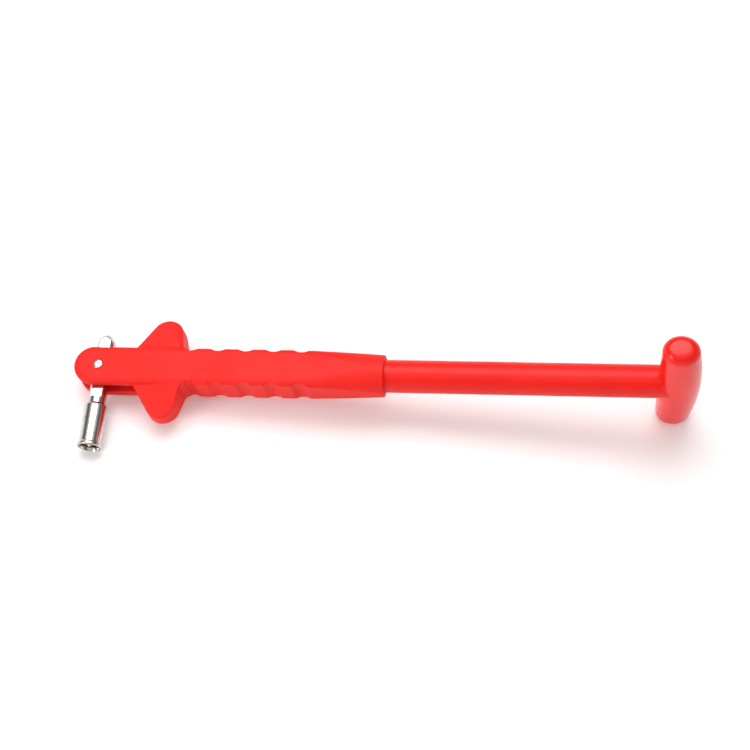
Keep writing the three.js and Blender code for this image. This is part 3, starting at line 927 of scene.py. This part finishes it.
class StudioSettings(bpy.types.PropertyGroup):
    azimuth: bpy.props.FloatProperty(
        name="Azimuth", description="Direction the camera looks in, from +Y",
        default=math.radians(-4.67), subtype="ANGLE")
    elevation: bpy.props.FloatProperty(
        name="Elevation", description="How steeply the camera looks down",
        default=math.radians(60.49), subtype="ANGLE")
    distance: bpy.props.FloatProperty(
        name="Distance", description="From the camera to its target", default=0.7237,
        unit="LENGTH")
    target: bpy.props.FloatVectorProperty(
        name="Target", description="Point on the floor that the camera looks at",
        default=(-0.00434, 0.01997, 0.0), subtype="XYZ", unit="LENGTH")
    lens: bpy.props.FloatProperty(
        name="Lens", description="Focal length on a 36 mm sensor", default=76.77)
    key: bpy.props.FloatProperty(
        name="Key light", description="Power of the large overhead light", default=10.0)
    fill: bpy.props.FloatProperty(
        name="Fill light", description="Power of the light from the left", default=6.0)
    sky: bpy.props.FloatProperty(
        name="Surround", description="Brightness of the room", default=1.05)


# ---- Operators: one for each piece or group of like pieces ----

class LEVER_OT_grip(bpy.types.Operator):
    """Build the moulding of grip, fork and wings"""
    bl_idname = "lever.grip"
    bl_label = "Grip, fork and wings"

    def execute(self, context):
        settings = context.scene.lever_moulding
        mesh = grip_mesh(settings.voxel, settings.passes)
        finished("grip_moulding", mesh, tool_axes(), "handle", "grip_body",
                 red_plastic("red_grip", settings.red, settings.gloss, 0.0))
        return {"FINISHED"}


class LEVER_OT_sleeve(bpy.types.Operator):
    """Build the sleeve over the bar"""
    bl_idname = "lever.sleeve"
    bl_label = "Sleeve"

    def execute(self, context):
        settings = context.scene.lever_moulding
        finished("sleeve_tube", sleeve_mesh(settings.waviness), tool_axes(), "handle",
                 "shaft_sleeve",
                 red_plastic("red_sleeve", settings.red, SLEEVE_ROUGHNESS, 0.0), 40)
        return {"FINISHED"}


class LEVER_OT_handle(bpy.types.Operator):
    """Build the T-handle and its saddle"""
    bl_idname = "lever.handle"
    bl_label = "T-handle"

    def execute(self, context):
        settings = context.scene.lever_moulding
        finished("handle_barrel", handle_mesh(settings.saddle), tool_axes(), "handle",
                 "t_handle",
                 red_plastic("red_handle", settings.red, settings.handle_gloss, HANDLE_COAT), 40)
        return {"FINISHED"}


class LEVER_OT_pin(bpy.types.Operator):
    """Build the peened swivel pin"""
    bl_idname = "lever.pin"
    bl_label = "Swivel pin"

    def execute(self, context):
        finished("peened_pin", pin_mesh(), tool_axes(), "handle", "pivot_pin",
                 bright_steel(), 60)
        return {"FINISHED"}


class LEVER_OT_rod(bpy.types.Operator):
    """Build the swivel rod"""
    bl_idname = "lever.rod"
    bl_label = "Swivel rod"

    def execute(self, context):
        finished("plated_rod", rod_mesh(), swivel_axes(), "swivel", "swivel_rod",
                 plated_steel(), 30)
        return {"FINISHED"}


class LEVER_OT_socket(bpy.types.Operator):
    """Build the socket, its threaded insert and the pin inside it"""
    bl_idname = "lever.socket"
    bl_label = "Socket"

    def execute(self, context):
        settings = context.scene.lever_metal
        # The insert's darkened brass is painted shade for the socket's bore.
        shade_darkened_brass_material = brass()
        place = swivel_axes()
        finished("plated_socket", socket_mesh(settings.soft), place, "swivel", "valve_socket",
                 plated_steel(), 50)
        finished("threaded_insert", insert_mesh(shade_darkened_brass_material), place, "swivel",
                 "thread_insert", shade_darkened_brass_material, 50)
        finished("domed_core_pin", core_pin_mesh(), place, "swivel", "core_pin",
                 bright_steel(), 50)
        return {"FINISHED"}


class LEVER_OT_inner_steel(bpy.types.Operator):
    """Give the steel inside the tool its drawn finish"""
    bl_idname = "lever.inner_steel"
    bl_label = "Inner steel"

    def execute(self, context):
        material = plain_steel()
        for name in ("core_bar", "key_pin", "cross_bar", "lock_pin"):
            node = frame["nodes"][name]
            if not node.material_slots:
                raise RuntimeError(f"{name} has no material slot")
            for slot in node.material_slots:
                slot.material = material
        return {"FINISHED"}


class LEVER_OT_studio(bpy.types.Operator):
    """Build the floor, the lights and the camera"""
    bl_idname = "lever.studio"
    bl_label = "Studio"

    def execute(self, context):
        settings = context.scene.lever_studio
        corners = [(-3, -3, 0), (3, -3, 0), (3, 3, 0), (-3, 3, 0)]
        floor = new_object("floor", mesh_from("floor", corners, [(0, 1, 2, 3)]))
        floor.data.materials.append(floor_material())
        soft_light("key", (-0.15, 0.45, 1.25), (1.1, 0.7), settings.key, (1.0, 1.0, 1.0))
        soft_light("fill", (-1.0, -0.8, 0.6), (0.5, 0.5), settings.fill, (1.0, 0.99, 0.98))
        context.scene.world = tent(settings.sky)
        context.scene.view_settings.view_transform = "Standard"
        add_camera(settings)
        return {"FINISHED"}


OPERATORS = (
    LEVER_OT_grip, LEVER_OT_sleeve, LEVER_OT_handle, LEVER_OT_pin, LEVER_OT_rod,
    LEVER_OT_socket, LEVER_OT_inner_steel, LEVER_OT_studio,
)


class LEVER_PT_panel(bpy.types.Panel):
    """Lists the pieces of the valve lever"""
    bl_label = "Valve Lever"
    bl_idname = "LEVER_PT_panel"
    bl_space_type = "VIEW_3D"
    bl_region_type = "UI"
    bl_category = "Valve Lever"

    def draw(self, context):
        layout = self.layout
        for operator in OPERATORS:
            layout.operator(operator.bl_idname)
        for settings in (context.scene.lever_moulding, context.scene.lever_metal,
                         context.scene.lever_studio):
            box = layout.box()
            for key in settings.__annotations__:
                box.prop(settings, key)


CLASSES = (MouldingSettings, MetalSettings, StudioSettings, *OPERATORS, LEVER_PT_panel)


def register():
    for cls in CLASSES:
        bpy.utils.register_class(cls)
    scene = bpy.types.Scene
    scene.lever_moulding = bpy.props.PointerProperty(type=MouldingSettings)
    scene.lever_metal = bpy.props.PointerProperty(type=MetalSettings)
    scene.lever_studio = bpy.props.PointerProperty(type=StudioSettings)


def unregister():
    del bpy.types.Scene.lever_moulding
    del bpy.types.Scene.lever_metal
    del bpy.types.Scene.lever_studio
    for cls in reversed(CLASSES):
        bpy.utils.unregister_class(cls)


def main():
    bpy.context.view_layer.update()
    register()
    bpy.ops.lever.grip()
    bpy.ops.lever.sleeve()
    bpy.ops.lever.handle()
    bpy.ops.lever.pin()
    bpy.ops.lever.rod()
    bpy.ops.lever.socket()
    bpy.ops.lever.inner_steel()
    bpy.ops.lever.studio()
    bpy.context.view_layer.update()


if __name__ == "__main__":
    main()
